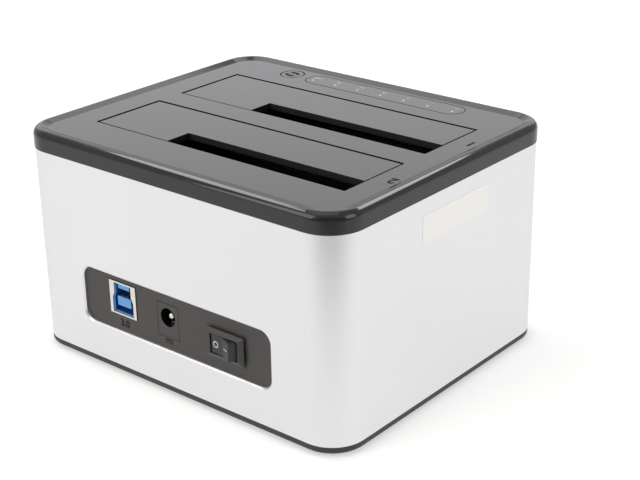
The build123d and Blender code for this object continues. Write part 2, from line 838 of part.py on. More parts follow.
def make_usb_contacts():
    """Contacts above and below the tongue and under the upper ledge."""
    front = usb_face_y - usb_wall - fit_gap - usb_tongue_set - usb_pin_set
    tongue_low = usb_bottom + usb_tongue_rise
    tongue_top = tongue_low + usb_tongue_height
    rows = [(tongue_top, tongue_top + usb_pin_thickness, usb_pin_pitch, usb_pin_count),
            (tongue_low - usb_pin_thickness, tongue_low, usb_pin_pitch, usb_pin_count),
            (usb_ledge_low() - usb_pin_thickness, usb_ledge_low(), usb_upper_pin_pitch, usb_upper_pin_count)]
    pins = []
    for low, high, pitch, count in rows:
        width = min(usb_pin_width, pitch / 2)
        for i in range(count):
            x = usb_x + (i - (count - 1) / 2) * pitch
            pins.append(block(x - width / 2, x + width / 2, front - usb_pin_length, front, low, high))
    return pins


def make_dc_body():
    """Power jack body with its round mouth, flush with the panel, and a front part lower than the board."""
    left = dc_x - dc_width / 2
    right = dc_x + dc_width / 2
    body = block(left, right, panel_face_y - dc_depth, panel_face_y, board_top, board_top + dc_height)
    body += block(left, right, board_rear + fit_gap, panel_face_y, board_top - dc_flange_drop, board_top)
    bore = Pos(dc_x, board_top + dc_bore_rise) * Circle(dc_bore_radius)
    return body - rearward(bore, panel_face_y - dc_bore_depth, panel_face_y + overrun)


def make_dc_pin():
    """Centre pin, rounded at its tip, standing on the floor of the bore."""
    tip = panel_face_y - dc_pin_set
    profile = Pos(dc_x, board_top + dc_bore_rise) * Circle(dc_pin_radius)
    pin = rearward(profile, panel_face_y - dc_bore_depth, tip)
    return fillet(pin.edges().sort_by(Axis.Y)[-1], dc_pin_round)


def make_dc_leaf():
    """Contact leaf along the lower side of the bore."""
    low = board_top + dc_bore_rise - dc_bore_radius + dc_leaf_thickness
    return block(dc_x - dc_leaf_width / 2, dc_x + dc_leaf_width / 2, panel_face_y - dc_bore_depth,
                 panel_face_y - dc_leaf_set, low, low + dc_leaf_thickness)


def switch_pivot_y():
    """Depth of the rocker's pivot behind the bezel's face."""
    return bezel_face_y - rocker_pivot_depth


def make_switch_housing():
    """Housing with a bevelled bezel, open in front for the rocker."""
    centre = Pos(switch_x, switch_z)
    housing = rearward(centre * Rectangle(switch_body_width, switch_body_height), switch_back_y, panel_face_y)
    neck_y = panel_face_y + bezel_neck
    side_y = neck_y + bezel_side
    neck = Rectangle(bezel_width - 2 * bezel_neck_inset, bezel_height - 2 * bezel_neck_inset)
    housing += rearward(centre * neck, panel_face_y, neck_y)
    housing += rearward(centre * Rectangle(bezel_width, bezel_height), neck_y, side_y)
    low = Plane.XZ.offset(-side_y) * centre * Rectangle(bezel_width, bezel_height)
    high = Plane.XZ.offset(-bezel_face_y) * centre * Rectangle(
        bezel_width - 2 * bezel_bevel, bezel_height - 2 * bezel_bevel)
    housing += loft([low, high], ruled=True)
    grow = 2 * rocker_gap
    mouth = centre * Rectangle(2 * rocker_end_radius + grow, rocker_height + grow)
    housing -= rearward(mouth, switch_back_y + switch_floor, bezel_face_y + overrun)
    stub = Pos(switch_x, switch_pivot_y()) * Circle(rocker_stub_radius + knuckle_fit)
    reach = rocker_height / 2 + rocker_gap + rocker_stub_length
    return housing - upright(stub, switch_z - reach, switch_z + reach)


def make_switch_rocker():
    """Dished rocker with round ends about its pivot, resting with its O end pressed."""
    edge_y = rocker_edge_height
    edge_x = math.sqrt(rocker_end_radius ** 2 - edge_y ** 2)
    crease_y = edge_y - rocker_dish_depth
    swell = math.atan2(edge_y, edge_x) / 2
    swell_x = rocker_end_radius * math.cos(swell)
    swell_y = rocker_end_radius * math.sin(swell)
    keel_x = rocker_keel_width / 2
    lines = [Line((-edge_x, edge_y), (0, crease_y)),
             Line((0, crease_y), (edge_x, edge_y)),
             ThreePointArc((edge_x, edge_y), (swell_x, swell_y), (rocker_end_radius, 0)),
             Polyline((rocker_end_radius, 0), (keel_x, -rocker_keel_depth), (-keel_x, -rocker_keel_depth),
                      (-rocker_end_radius, 0)),
             ThreePointArc((-rocker_end_radius, 0), (-swell_x, swell_y), (-edge_x, edge_y))]
    profile = make_face(Curve() + lines)
    half = rocker_height / 2
    rocker = upright(profile, -half, half)
    rocker = fillet(rocker.faces().filter_by(Axis.Z).edges(), rocker_edge_round)
    reach = half + rocker_stub_length
    rocker += rod(0, 0, rocker_stub_radius, -reach, reach)
    return Pos(switch_x, switch_pivot_y(), switch_z) * Rot(0, 0, -rocker_throw_angle / 2) * rocker


def make_switch_terminals():
    """Two solder tabs at the back of the switch."""
    tabs = []
    for side in (-1, 1):
        x = switch_x + side * terminal_spread / 2
        tabs.append(block(x - terminal_thickness / 2, x + terminal_thickness / 2,
                          switch_back_y - terminal_length, switch_back_y,
                          switch_z - terminal_width / 2, switch_z + terminal_width / 2))
    return tabs


def make_switch_leads():
    """Short insulated leads from the tabs down to the main board."""
    leads = []
    y = switch_back_y - terminal_length / 2
    top = switch_z - terminal_width / 2
    for side in (-1, 1):
        x = switch_x + side * terminal_spread / 2
        foot = x + side * switch_lead_splay
        path = FilletPolyline((x, y, top), (x, y, (top + board_top) / 2), (foot, y, board_top),
                              radius=switch_lead_bend)
        section = Plane(origin=path @ 0, z_dir=path % 0) * Circle(switch_lead_radius)
        tube = sweep(section, path=path)
        leads.append(tube - block(foot - terminal_spread, foot + terminal_spread, y - overrun,
                                  y + overrun, board_top - overrun, board_top))
    return leads


# Main board and what stands on it

def make_main_board():
    """Circuit board with screw holes."""
    board = block(-board_width / 2, board_width / 2, board_front, board_rear, board_bottom, board_top)
    for x, y in standoff_places():
        board -= rod(x, y, small_screw_radius + fit_gap, board_bottom - overrun, board_top + overrun)
    return board


def socket_places():
    """Y of each drive socket, near its bay's rear wall."""
    return [y + bay_width / 2 - socket_edge_distance for y in bay_centres]


def key_places():
    """Middle X and length of the power and signal keys, centred together on the socket."""
    total = power_key_length + key_spacing + signal_key_length
    left = socket_x - total / 2
    return [(left + power_key_length / 2, power_key_length, power_blades),
            (left + total - signal_key_length / 2, signal_key_length, signal_blades)]


def make_drive_socket(bay):
    """22-way socket with two hooked keyways and a guide horn at each end."""
    x = socket_x
    y = socket_places()[bay]
    top = board_top + socket_height
    half = socket_length / 2
    socket = block(x - half, x + half, y - socket_width / 2, y + socket_width / 2, board_top, top)
    for side in (-1, 1):
        ends = sorted([x + side * half, x + side * (half - horn_length)])
        socket += block(*ends, y - socket_width / 2, y + socket_width / 2, top, top + horn_rise)
    for middle, length, _ in key_places():
        socket -= block(middle - length / 2, middle + length / 2, y - key_width / 2, y + key_width / 2,
                        top - key_depth, top + overrun)
        socket -= block(middle + length / 2 - key_hook, middle + length / 2, y - key_width / 2 - key_hook,
                        y + key_width / 2, top - key_depth, top + overrun)
    return socket


def make_drive_contacts():
    """Contact blades of both drive sockets, one row in each keyway."""
    blades = []
    low = board_top + socket_height - key_depth
    for y in socket_places():
        rear = y + key_width / 2
        for middle, _, count in key_places():
            for i in range(count):
                x = middle + (i - (count - 1) / 2) * blade_pitch
                blades.append(block(x - blade_width / 2, x + blade_width / 2, rear - blade_thickness,
                                    rear, low, low + blade_height))
    return blades


def make_board_chips():
    """Two bridge chips with lead strips and a crystal, between the drive sockets."""
    y = (socket_places()[0] + socket_places()[1]) / 2
    chips = []
    for side in (-1, 1):
        x = side * chip_spread / 2
        half = chip_size / 2
        chip = block(x - half, x + half, y - half, y + half, board_top, board_top + chip_height)
        wide = half + chip_lead
        chip += block(x - wide, x + wide, y - half + chip_lead, y + half - chip_lead, board_top,
                      board_top + chip_lead_height)
        chip += block(x - half + chip_lead, x + half - chip_lead, y - wide, y + wide, board_top,
                      board_top + chip_lead_height)
        chips.append(chip)
    can = SlotOverall(crystal_length, crystal_width)
    chips.append(upright(Pos(0, y) * can, board_top, board_top + crystal_height))
    return chips


def capacitor(x, y, radius, height):
    """A radial can with a rounded top edge and a shallow vent dish."""
    top = board_top + height
    can = rod(x, y, radius, board_top, top)
    can = chamfer(can.edges().sort_by(Axis.Z)[-1], can_top_bevel)
    return can - rod(x, y, radius * can_vent_share, top - can_vent_depth, top + overrun)


def make_board_capacitors():
    """One large can between jack and switch, and three small ones along the front edge."""
    x = (dc_x - dc_width / 2 + switch_x + bezel_width / 2) / 2
    cans = [capacitor(x, panel_back_y - dc_depth / 2, large_can_radius, large_can_height)]
    front_y = board_front + small_can_radius + fit_gap
    for i in range(small_can_count):
        cans.append(capacitor(small_can_x + i * small_can_pitch, front_y, small_can_radius, small_can_height))
    return cans


# Indicator strip, button and the lead to them

def make_indicator_film():
    """Thin printed film in the lid's pill-shaped recess."""
    pill = Pos(strip_x, strip_y) * SlotOverall(strip_length - 2 * film_gap, strip_width - 2 * film_gap)
    return upright(pill, panel_z - film_thickness, panel_z)


def make_light_guide():
    """Clear bar under the lid with a rod up to the film for each lamp."""
    half = (lamp_places[-1] - lamp_places[0]) / 2 + guide_bar_width / 2
    guide = block(strip_x - half, strip_x + half, lamp_y - guide_bar_width / 2,
                  lamp_y + guide_bar_width / 2, plate_bottom - guide_bar_depth, plate_bottom)
    for x in lamp_places:
        guide += rod(x, lamp_y, guide_rod_radius, plate_bottom, panel_z - film_thickness)
    return guide


def make_indicator_board():
    """Long narrow board under the lid."""
    board = block(strip_board_left, strip_board_right, strip_y - strip_board_width / 2,
                  strip_y + strip_board_width / 2, strip_board_bottom, strip_board_top)
    for x in strip_boss_places():
        board -= rod(x, strip_y, small_screw_radius + fit_gap, strip_board_bottom - overrun,
                     strip_board_top + overrun)
    return board


def make_indicator_lamps():
    """Seven surface-mounted lamps below the light guide's rods."""
    return [block(x - lamp_length / 2, x + lamp_length / 2, lamp_y - lamp_width / 2,
                  lamp_y + lamp_width / 2, strip_board_top, strip_board_top + lamp_height)
            for x in lamp_places]


def make_clone_button():
    """Round cap with a retaining flange below the lid."""
    cap = rod(button_x, strip_y, button_radius, button_bottom, panel_z)
    cap = chamfer(cap.edges().sort_by(Axis.Z)[-1], button_edge_bevel)
    return cap + rod(button_x, strip_y, flange_radius, button_bottom, button_bottom + button_flange_height)


def make_tact_body():
    """Square tactile switch with a round well for its plunger."""
    half = tact_size / 2
    top = strip_board_top + tact_height
    body = block(button_x - half, button_x + half, strip_y - half, strip_y + half, strip_board_top, top)
    low = top - tact_plunger_sink - button_travel - tact_plunger_rest
    return body - rod(button_x, strip_y, tact_plunger_radius + tact_plunger_gap, low, top + overrun)


def make_tact_plunger():
    """Plunger that the button's underside rests on."""
    low = strip_board_top + tact_height - tact_plunger_sink
    return rod(button_x, strip_y, tact_plunger_radius, low, button_bottom)


def make_indicator_lead():
    """Flat lead from the main board up to the indicator board, with one gentle step."""
    low = board_top + plug_height
    high = strip_board_bottom - plug_height
    low_end = low + lead_low_share * (high - low)
    high_end = high - lead_high_share * (high - low)
    path = FilletPolyline((lead_lower_y, low), (lead_lower_y, low_end), (strip_y, high_end), (strip_y, high),
                          radius=lead_bend)
    ribbon = trace(path, line_width=lead_thickness)
    return sideways(ribbon, lead_x - lead_width / 2, lead_x + lead_width / 2)


def make_lead_plugs():
    """Plug housings at both ends of the flat lead."""
    half = plug_length / 2
    places = ((lead_lower_y, board_top), (strip_y, strip_board_bottom - plug_height))
    return [block(lead_x - half, lead_x + half, y - plug_width / 2, y + plug_width / 2,
                  low, low + plug_height) for y, low in places]


# All pieces by name, moved so that the origin lies below the middle of the whole dock

pieces = {
    "side_sleeve": make_side_sleeve(),
    "top_cover": make_top_cover(),
    "base_plate": make_base_plate(),
    "rubber_feet": make_rubber_feet(),
    "io_panel": make_io_panel(),
    "drive_cradle": make_drive_cradle(),
    "flap_a": make_flap(0),
    "flap_b": make_flap(1),
    "flap_pin_a": make_flap_pin(0),
    "flap_pin_b": make_flap_pin(1),
    "flap_spring_a": make_flap_spring(0),
    "flap_spring_b": make_flap_spring(1),
    "base_screws": make_base_screws(),
    "cradle_screws": make_cradle_screws(),
    "board_screws": make_board_screws(),
    "indicator_screws": make_strip_screws(),
    "usb_shell": make_usb_shell(),
    "usb_insert": make_usb_insert(),
    "usb_contacts": make_usb_contacts(),
    "dc_body": make_dc_body(),
    "dc_pin": make_dc_pin(),
    "dc_leaf": make_dc_leaf(),
    "switch_housing": make_switch_housing(),
    "switch_rocker": make_switch_rocker(),
    "switch_terminals": make_switch_terminals(),
    "switch_leads": make_switch_leads(),
    "main_board": make_main_board(),
    "board_chips": make_board_chips(),
    "board_capacitors": make_board_capacitors(),
    "sata_socket_a": make_drive_socket(0),
    "sata_socket_b": make_drive_socket(1),
    "sata_contacts": make_drive_contacts(),
    "indicator_film": make_indicator_film(),
    "light_guide": make_light_guide(),
    "indicator_board": make_indicator_board(),
    "indicator_lamps": make_indicator_lamps(),
    "clone_button": make_clone_button(),
    "tact_body": make_tact_body(),
    "tact_plunger": make_tact_plunger(),
    "indicator_lead": make_indicator_lead(),
    "lead_plugs": make_lead_plugs(),
}

groups = {name: Compound(piece) if isinstance(piece, list) else piece for name, piece in pieces.items()}
reach_boxes = [group.bounding_box() for group in groups.values()]
middle_x = (min(box.min.X for box in reach_boxes) + max(box.max.X for box in reach_boxes)) / 2
middle_y = (min(box.min.Y for box in reach_boxes) + max(box.max.Y for box in reach_boxes)) / 2
print("moved by", round(-middle_x, 4), round(-middle_y, 4))

os.makedirs("parts", exist_ok=True)
for name, group in groups.items():
    export_step(Pos(-middle_x, -middle_y) * group, f"parts/{name}.step")
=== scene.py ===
import bpy
import numpy as np
from mathutils import Matrix, Vector


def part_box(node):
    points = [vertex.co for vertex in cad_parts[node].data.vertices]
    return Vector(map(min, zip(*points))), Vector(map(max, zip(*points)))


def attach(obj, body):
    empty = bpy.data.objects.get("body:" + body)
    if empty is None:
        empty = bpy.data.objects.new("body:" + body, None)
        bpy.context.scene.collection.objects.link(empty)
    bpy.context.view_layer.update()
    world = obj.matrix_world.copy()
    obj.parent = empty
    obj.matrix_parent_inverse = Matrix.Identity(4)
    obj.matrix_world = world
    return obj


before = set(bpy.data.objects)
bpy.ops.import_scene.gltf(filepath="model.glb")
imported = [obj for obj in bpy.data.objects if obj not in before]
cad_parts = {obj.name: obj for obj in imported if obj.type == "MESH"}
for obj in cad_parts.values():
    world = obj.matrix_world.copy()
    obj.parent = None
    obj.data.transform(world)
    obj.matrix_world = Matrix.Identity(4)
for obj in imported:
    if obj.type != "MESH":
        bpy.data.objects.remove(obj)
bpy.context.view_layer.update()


# Camera. A short telephoto lens on a tripod, 47 cm from the dock's middle, that looks down at its rear
# panel and its end. Its place, its three directions and its lens were solved from the photograph.
MM = 0.001
camera_place = Vector((-286.56, 325.83, 220.96)) * MM
view_right = Vector((-0.77225, -0.63516, -0.0140))
view_up = Vector((0.23935, -0.31128, 0.91968))
view_back = Vector((-0.5885, 0.70688, 0.39241))

camera_data = bpy.data.cameras.new("tripod_camera")
camera_data.sensor_width = 36.0
camera_data.lens = 79.69
camera_data.shift_x = -0.0016
camera_data.shift_y = -0.0010
camera_data.clip_start = 0.01
camera = bpy.data.objects.new("tripod_camera", camera_data)
bpy.context.scene.collection.objects.link(camera)
view_turn = Matrix((view_right, view_up, view_back)).transposed().to_4x4()
camera.matrix_world = Matrix.Translation(camera_place) @ view_turn
bpy.context.scene.camera = camera
bpy.context.scene.view_settings.view_transform = "Standard"


# Floor and light tent. A sheet of matt white paper under a white tent: the paper shows white to the
# camera and in polished faces, and takes the dock's soft shadow. Toward the camera the tent is open
# and the paper ends, which polished faces mirror as the dark of the room.
def linear(code):
    """An sRGB hex colour as the linear colour that shaders take: each channel decoded by the sRGB curve."""
    channels = np.array([int(code[i:i + 2], 16) for i in (1, 3, 5)]) / 255.0
    decoded = np.where(channels <= 0.04045, channels / 12.92, ((channels + 0.055) / 1.055) ** 2.4)
    return [float(value) for value in decoded] + [1.0]


def add(tree, kind, settings=None, **inputs):
    """Adds one shader node, sets its settings, and sets or links each input. An input goes by its
    socket's name, or by an underscore and its number where names repeat."""
    made = tree.nodes.new(kind)
    for key, value in (settings or {}).items():
        setattr(made, key, value)
    for key, value in inputs.items():
        socket = made.inputs[int(key[1:])] if key[1:].isdigit() else made.inputs[key.replace("_", " ")]
        if isinstance(value, bpy.types.NodeSocket):
            tree.links.new(value, socket)
        else:
            socket.default_value = value
    return made


# The camera sees the paper lifted to white. Polished faces mirror it as mostly plain and bright, up to
# where it ends, and the dark room beyond. Both lengths run from the dock's middle toward the camera.
toward_camera = (-0.66, 0.751, 0.0)
paper_half_width = 4.0
paper_grain = 9 * MM
paper_lift = 0.42
paper_mirrored, room_mirrored = 1.04, 0.2
paper_ends, room_begins = 200 * MM, 270 * MM
mirrored_share = 0.75

paper = bpy.data.materials.new("matt_white_paper")
paper.use_nodes = True
tree = paper.node_tree
tree.nodes.clear()
light_path = add(tree, "ShaderNodeLightPath")
grain = add(tree, "ShaderNodeTexNoise", Vector=add(tree, "ShaderNodeTexCoord").outputs["Object"],
            Scale=1 / paper_grain, Detail=3.0)
tone = add(tree, "ShaderNodeMix", {"data_type": "RGBA"}, _0=grain.outputs["Fac"],
           _6=linear("#EDEDEC"), _7=linear("#F3F3F2"))
matt = add(tree, "ShaderNodeBsdfDiffuse", Color=tone.outputs[2], Roughness=1.0)
seen = add(tree, "ShaderNodeMath", {"operation": "MULTIPLY"}, _0=light_path.outputs["Is Camera Ray"],
           _1=paper_lift)
lift = add(tree, "ShaderNodeEmission", Color=linear("#FFFFFF"), Strength=seen.outputs[0])
seen_paper = add(tree, "ShaderNodeAddShader", _0=matt.outputs[0], _1=lift.outputs[0])
distance = add(tree, "ShaderNodeVectorMath", {"operation": "DOT_PRODUCT"}, _1=toward_camera,
               _0=add(tree, "ShaderNodeNewGeometry").outputs["Position"])
edge = add(tree, "ShaderNodeMapRange", Value=distance.outputs["Value"], From_Min=paper_ends,
           From_Max=room_begins, To_Min=paper_mirrored, To_Max=room_mirrored)
mirrored_paper = add(tree, "ShaderNodeEmission", Color=linear("#FFFFFF"), Strength=edge.outputs[0])
share = add(tree, "ShaderNodeMath", {"operation": "MULTIPLY"}, _0=light_path.outputs["Is Glossy Ray"],
            _1=mirrored_share)
paper_look = add(tree, "ShaderNodeMixShader", _0=share.outputs[0], _1=seen_paper.outputs[0],
                 _2=mirrored_paper.outputs[0])
add(tree, "ShaderNodeOutputMaterial", Surface=paper_look.outputs[0])

paper_corners = [(-1, -1), (1, -1), (1, 1), (-1, 1)]
floor_mesh = bpy.data.meshes.new("paper_floor")
floor_mesh.from_pydata([(x * paper_half_width, y * paper_half_width, 0) for x, y in paper_corners],
                       [], [(0, 1, 2, 3)])
floor_mesh.materials.append(paper)
floor = bpy.data.objects.new("paper_floor", floor_mesh)
bpy.context.scene.collection.objects.link(floor)

# The tent as polished faces mirror it, its wall and its opening, and how squarely toward the camera
# they look where the one gives way to the other (1 is straight at it). Then its light on dull faces.
tent_mirrored, opening_mirrored = 0.58, 0.25
tent_ends, opening_begins = 0.72, 0.85
tent_light = 0.36

world = bpy.data.worlds.new("white_tent")
world.use_nodes = True
bpy.context.scene.world = world
tree = world.node_tree
tree.nodes.clear()
light_path = add(tree, "ShaderNodeLightPath")
bearing = add(tree, "ShaderNodeVectorMath", {"operation": "DOT_PRODUCT"}, _1=toward_camera,
              _0=add(tree, "ShaderNodeTexCoord").outputs["Generated"])
tent_wall = add(tree, "ShaderNodeMapRange", Value=bearing.outputs["Value"], From_Min=tent_ends,
                From_Max=opening_begins, To_Min=tent_mirrored, To_Max=opening_mirrored)
tent = add(tree, "ShaderNodeMapRange", Value=light_path.outputs["Is Glossy Ray"], To_Min=tent_light,
           To_Max=tent_wall.outputs[0])
background = add(tree, "ShaderNodeMath", {"operation": "MAXIMUM"}, _0=light_path.outputs["Is Camera Ray"],
                 _1=light_path.outputs["Is Transmission Ray"])
level = add(tree, "ShaderNodeMath", {"operation": "MAXIMUM"}, _0=background.outputs[0], _1=tent.outputs[0])
sky = add(tree, "ShaderNodeBackground", Color=linear("#FFFFFF"), Strength=level.outputs[0])
add(tree, "ShaderNodeOutputWorld", Surface=sky.outputs[0])


def soft_light(name, azimuth, elevation, width, height, watts, colour="#FFFFFF", far=1.5):
    """A rectangular softbox of the given size in metres, that looks at the dock's middle from the given
    distance: azimuth in degrees from +X toward +Y, elevation above the floor."""
    data = bpy.data.lights.new(name, "AREA")
    data.shape = "RECTANGLE"
    data.size, data.size_y, data.energy = width, height, watts
    data.color = linear(colour)[:3]
    lamp = bpy.data.objects.new(name, data)
    turn, rise = np.radians(azimuth), np.radians(elevation)
    out = Vector((np.cos(turn) * np.cos(rise), np.sin(turn) * np.cos(rise), np.sin(rise)))
    aim = Vector((0, 0, 50 * MM))
    lamp.matrix_world = Matrix.Translation(aim + out * far) @ out.to_track_quat("Z", "Y").to_matrix().to_4x4()
    bpy.context.scene.collection.objects.link(lamp)


soft_light("softbox_above", 45, 80, 1.2, 1.2, 3.0)
soft_light("softbox_far_side", -49, 25, 2.2, 0.8, 4.2, "#FAFBFF", far=1.7)
soft_light("softbox_rear_left", 66, 24, 0.9, 1.1, 6.4, "#FFFCF6")
soft_light("softbox_right", 186, 22, 0.7, 1.0, 4.0)
soft_light("strip_right", 5, 50, 0.85, 0.25, 3.4, far=1.4)
soft_light("strip_front", -98, 44, 0.75, 0.25, 3.0, far=1.4)
soft_light("strip_far", -48, 46, 1.2, 0.3, 1.6, far=1.4)


# Sleeve. One extruded aluminium tube, cut to length, bead blasted and clear anodised. The window for
# the rear panel is milled through it with a chamfered edge, which catches the light.
def finish(name):
    """A new material with an empty tree, and its object coordinates."""
    made = bpy.data.materials.new(name)
    made.use_nodes = True
    tree = made.node_tree
    tree.nodes.clear()
    return made, tree, add(tree, "ShaderNodeTexCoord").outputs["Object"]


def dress(material, *names):
    """Gives CAD nodes their material in the one slot that they have."""
    for name in names:
        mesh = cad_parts[name].data
        mesh.materials.clear()
        mesh.materials.append(material)


# Anodised aluminium, bead blasted: grey-white metal with broad, soft highlights. The blasted pits are
# about 0.1 mm. They are drawn 0.35 mm across, because finer ones don't show at this distance.
blasted_pit = 0.35 * MM
anodised_cloud = 40 * MM
aluminium, tree, place = finish("anodised_aluminium_bead_blasted")
pits = add(tree, "ShaderNodeTexNoise", Vector=place, Scale=1 / blasted_pit, Detail=2.0, Roughness=0.6)
cloud = add(tree, "ShaderNodeTexNoise", Vector=place, Scale=1 / anodised_cloud, Detail=2.0)
satin = add(tree, "ShaderNodeMapRange", Value=pits.outputs["Fac"], From_Min=0.3, From_Max=0.7,
            To_Min=0.34, To_Max=0.42)
tone = add(tree, "ShaderNodeMix", {"data_type": "RGBA"}, _0=cloud.outputs["Fac"],
           _6=linear("#EEECEE"), _7=linear("#F2F1F2"))
dents = add(tree, "ShaderNodeBump", Strength=0.12, Distance=0.02 * MM, Height=pits.outputs["Fac"])
metal = add(tree, "ShaderNodeBsdfPrincipled", Base_Color=tone.outputs[2], Metallic=1.0,
            Roughness=satin.outputs[0], Normal=dents.outputs[0])
add(tree, "ShaderNodeOutputMaterial", Surface=metal.outputs[0])
dress(aluminium, "side_sleeve")


# Lid and flaps. Moulded ABS, black and polished in the mould: it mirrors the pale surroundings, with a
# few faint smudges from handling and a rounded arris along every edge. The walls of the flaps that look
# to the rear, at the slots, are painted greyer: painted light, for the light that falls on them.
def polished_plastic(name, wall):
    """Black plastic polished in its mould, with the given colour painted on the walls that look to the rear,
    as painted light.
    """
    made, tree, place = finish(name)
    arris = add(tree, "ShaderNodeBevel", {"samples": 4}, Radius=0.15 * MM)
    wave = add(tree, "ShaderNodeTexNoise", Vector=place, Scale=1 / (22 * MM), Detail=1.0)
    smudge = add(tree, "ShaderNodeTexNoise", Vector=place, Scale=1 / (14 * MM), Detail=3.0, Roughness=0.6)
    facing = add(tree, "ShaderNodeSeparateXYZ", Vector=add(tree, "ShaderNodeTexCoord").outputs["Normal"])
    rearward = add(tree, "ShaderNodeMapRange", Value=facing.outputs["Y"], From_Min=0.6, From_Max=0.9)
    polish = add(tree, "ShaderNodeMapRange", Value=smudge.outputs["Fac"], From_Min=0.4, From_Max=0.7,
                 To_Min=0.05, To_Max=0.11)
    black = add(tree, "ShaderNodeMix", {"data_type": "RGBA"}, _0=smudge.outputs["Fac"],
                _6=linear("#1A191A"), _7=linear("#212021"))
    # The walls that look to the rear take the given colour: painted light on the flaps' slot walls.
    tone = add(tree, "ShaderNodeMix", {"data_type": "RGBA"}, _0=rearward.outputs[0], _6=black.outputs[2],
               _7=linear(wall))
    swell = add(tree, "ShaderNodeBump", Strength=0.1, Distance=0.05 * MM, Height=wave.outputs["Fac"],
                Normal=arris.outputs[0])
    plastic = add(tree, "ShaderNodeBsdfPrincipled", Base_Color=tone.outputs[2], Roughness=polish.outputs[0],
                  IOR=1.54, Normal=swell.outputs[0])
    add(tree, "ShaderNodeOutputMaterial", Surface=plastic.outputs[0])
    return made


gloss_black = polished_plastic("black_abs_gloss_moulded", "#1D1C1D")
dress(gloss_black, "top_cover")
dress(polished_plastic("black_abs_flap_painted_wall_light", "#333334"), "flap_a", "flap_b")


# Base tray and inner frame. Both are moulded ABS with the fine texture of a spark-eroded mould, which
# makes them even and dull. The tray is dark grey, and the frame black, so that light dies in the wells.
def textured_plastic(name, low, high, grit, depth, roughness):
    """Plastic from a textured mould: two tones mixed and bumped by one grain. The grain's size and depth
    are in millimetres."""
    made, tree, place = finish(name)
    arris = add(tree, "ShaderNodeBevel", {"samples": 4}, Radius=0.2 * MM)
    grain = add(tree, "ShaderNodeTexNoise", Vector=place, Scale=1 / (grit * MM), Detail=3.0, Roughness=0.55)
    tone = add(tree, "ShaderNodeMix", {"data_type": "RGBA"}, _0=grain.outputs["Fac"],
               _6=linear(low), _7=linear(high))
    dents = add(tree, "ShaderNodeBump", Strength=0.35, Distance=depth * MM, Height=grain.outputs["Fac"],
                Normal=arris.outputs[0])
    plastic = add(tree, "ShaderNodeBsdfPrincipled", Base_Color=tone.outputs[2], Roughness=roughness,
                  IOR=1.54, Normal=dents.outputs[0])
    add(tree, "ShaderNodeOutputMaterial", Surface=plastic.outputs[0])
    return made


dress(textured_plastic("dark_grey_abs_spark_texture", "#333131", "#3A3838", 0.5, 0.03, 0.5), "base_plate")
dress(textured_plastic("black_abs_frame", "#19191A", "#222223", 0.5, 0.03, 0.55), "drive_cradle")


# Feet. Four rounds punched from black rubber sheet and pressed into recesses in the base. The rubber
# has no shine.
dress(textured_plastic("black_rubber", "#171717", "#222222", 0.3, 0.04, 0.85), "rubber_feet")


# Rear panel. A flat ABS moulding held behind the sleeve's window, matt dark grey with a fine even grain
# on its face. The edges of its openings are smooth and painted darker as shade, as is the jack's bore behind
# it.
def textured_face(name, node, painted_shade_colour):
    """Plastic whose spark texture is only on the face that looks to the rear at the node's back end.
    Everywhere else it is smooth, in the given colour, which is painted shade for openings, gaps and bores."""
    made, tree, place = finish(name)
    arris = add(tree, "ShaderNodeBevel", {"samples": 4}, Radius=0.1 * MM)
    back_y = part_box(node)[1].y
    facing = add(tree, "ShaderNodeSeparateXYZ", Vector=add(tree, "ShaderNodeTexCoord").outputs["Normal"])
    rearward = add(tree, "ShaderNodeMapRange", Value=facing.outputs["Y"], From_Min=0.5, From_Max=0.9)
    where = add(tree, "ShaderNodeSeparateXYZ", Vector=place)
    at_back = add(tree, "ShaderNodeMapRange", Value=where.outputs["Y"], From_Min=back_y - 0.5 * MM,
                  From_Max=back_y - 0.3 * MM)
    face = add(tree, "ShaderNodeMath", {"operation": "MULTIPLY"}, _0=rearward.outputs[0],
               _1=at_back.outputs[0])
    grain = add(tree, "ShaderNodeTexNoise", Vector=place, Scale=1 / (0.45 * MM), Detail=3.0, Roughness=0.55)
    spark = add(tree, "ShaderNodeMix", {"data_type": "RGBA"}, _0=grain.outputs["Fac"],
                _6=linear("#454241"), _7=linear("#4B4847"))
    # Off the textured face, the given colour is painted shade in openings, gaps and bores.
    tone = add(tree, "ShaderNodeMix", {"data_type": "RGBA"}, _0=face.outputs[0], _6=linear(painted_shade_colour),
               _7=spark.outputs[2])
    dull = add(tree, "ShaderNodeMapRange", Value=face.outputs[0], To_Min=0.3, To_Max=0.55)
    dents = add(tree, "ShaderNodeBump", Strength=0.35, Distance=0.025 * MM, Height=grain.outputs["Fac"],
                Normal=arris.outputs[0])
    plastic = add(tree, "ShaderNodeBsdfPrincipled", Base_Color=tone.outputs[2], Roughness=dull.outputs[0],
                  IOR=1.54, Normal=dents.outputs[0])
    add(tree, "ShaderNodeOutputMaterial", Surface=plastic.outputs[0])
    return made


dress(textured_face("dark_grey_abs_fine_matt", "io_panel", "#161616"), "io_panel")


# USB receptacle. A shell folded from steel sheet and nickel plated, which gives it a warm soft shine,
# round a blue nylon insert. The contacts on its tongue are flashed with gold.
def plated(name, low, high, roughness, streak, spread):
    """Bright metal with faint rolling streaks along X: two tones, roughness and its spread, and the
    streaks' width in millimetres."""
    made, tree, place = finish(name)
    rolled = add(tree, "ShaderNodeMapping", Vector=place, Scale=(0.15, 1, 1))
    lines = add(tree, "ShaderNodeTexNoise", Vector=rolled.outputs[0], Scale=1 / (streak * MM), Detail=2.0)
    shine = add(tree, "ShaderNodeMapRange", Value=lines.outputs["Fac"], From_Min=0.3, From_Max=0.7,
                To_Min=roughness, To_Max=roughness + spread)
    tone = add(tree, "ShaderNodeMix", {"data_type": "RGBA"}, _0=lines.outputs["Fac"],
               _6=linear(low), _7=linear(high))
    metal = add(tree, "ShaderNodeBsdfPrincipled", Base_Color=tone.outputs[2], Metallic=1.0,
                Roughness=shine.outputs[0])
    add(tree, "ShaderNodeOutputMaterial", Surface=metal.outputs[0])
    return made


